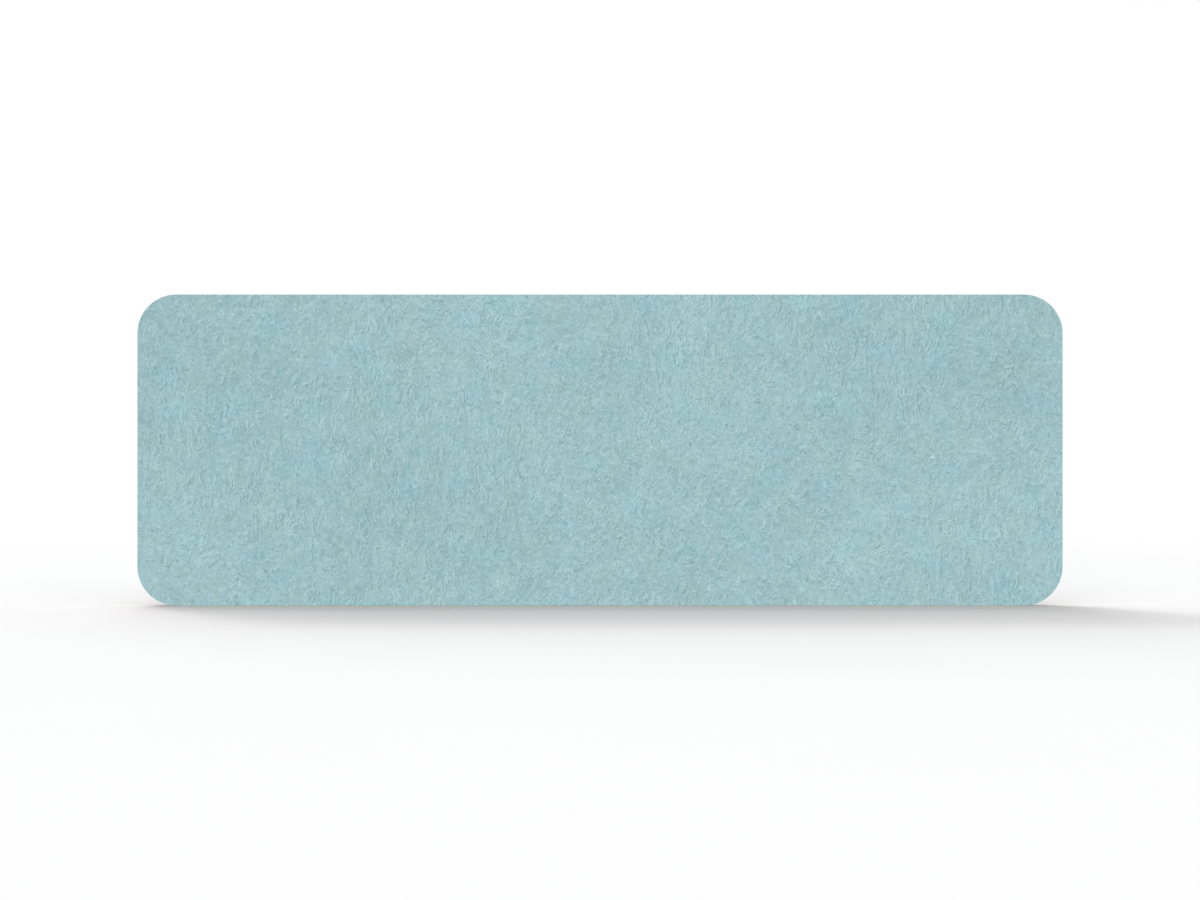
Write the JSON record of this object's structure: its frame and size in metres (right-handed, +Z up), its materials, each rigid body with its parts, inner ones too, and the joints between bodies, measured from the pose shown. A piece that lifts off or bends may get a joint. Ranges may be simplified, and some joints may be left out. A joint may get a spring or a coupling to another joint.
{
  "type": "acoustic divider screen",
  "caption": "Long, low acoustic divider panel of pale aqua felt with round corners, standing upright on flat steel feet hidden behind it.",
  "frame": {"origin": "middle of the panel's foot line: half way along the panel, in its middle plane, on the surface that it stands on", "axes": "+X runs along the panel to the viewer's right as seen from the front, +Y runs from the front face to the back where the feet are, +Z is up"},
  "size_m": [1.19, 0.185, 0.4],
  "materials": {
    "felt": "matted pale aqua felt, fully matt, with fine curled fibres",
    "hardboard": "bare brown hardboard",
    "powder_coat": "pale grey powder coat with a fine orange-peel texture",
    "rubber": "matt black rubber",
    "zinc_plate": "bright zinc plate, slightly satin"
  },
  "bodies": {
    "root": {"front_felt": "felt", "rear_felt": "felt", "core_board": "hardboard", "rim_strip": "felt", "bottom_strip": "felt", "left_foot": "powder_coat", "right_foot": "powder_coat", "left_foot_pads": "rubber", "right_foot_pads": "rubber", "left_clinch_nuts": "zinc_plate", "right_clinch_nuts": "zinc_plate", "left_cup_washers": "zinc_plate", "right_cup_washers": "zinc_plate", "left_screws": "zinc_plate", "right_screws": "zinc_plate"}
  },
  "joints": []
}
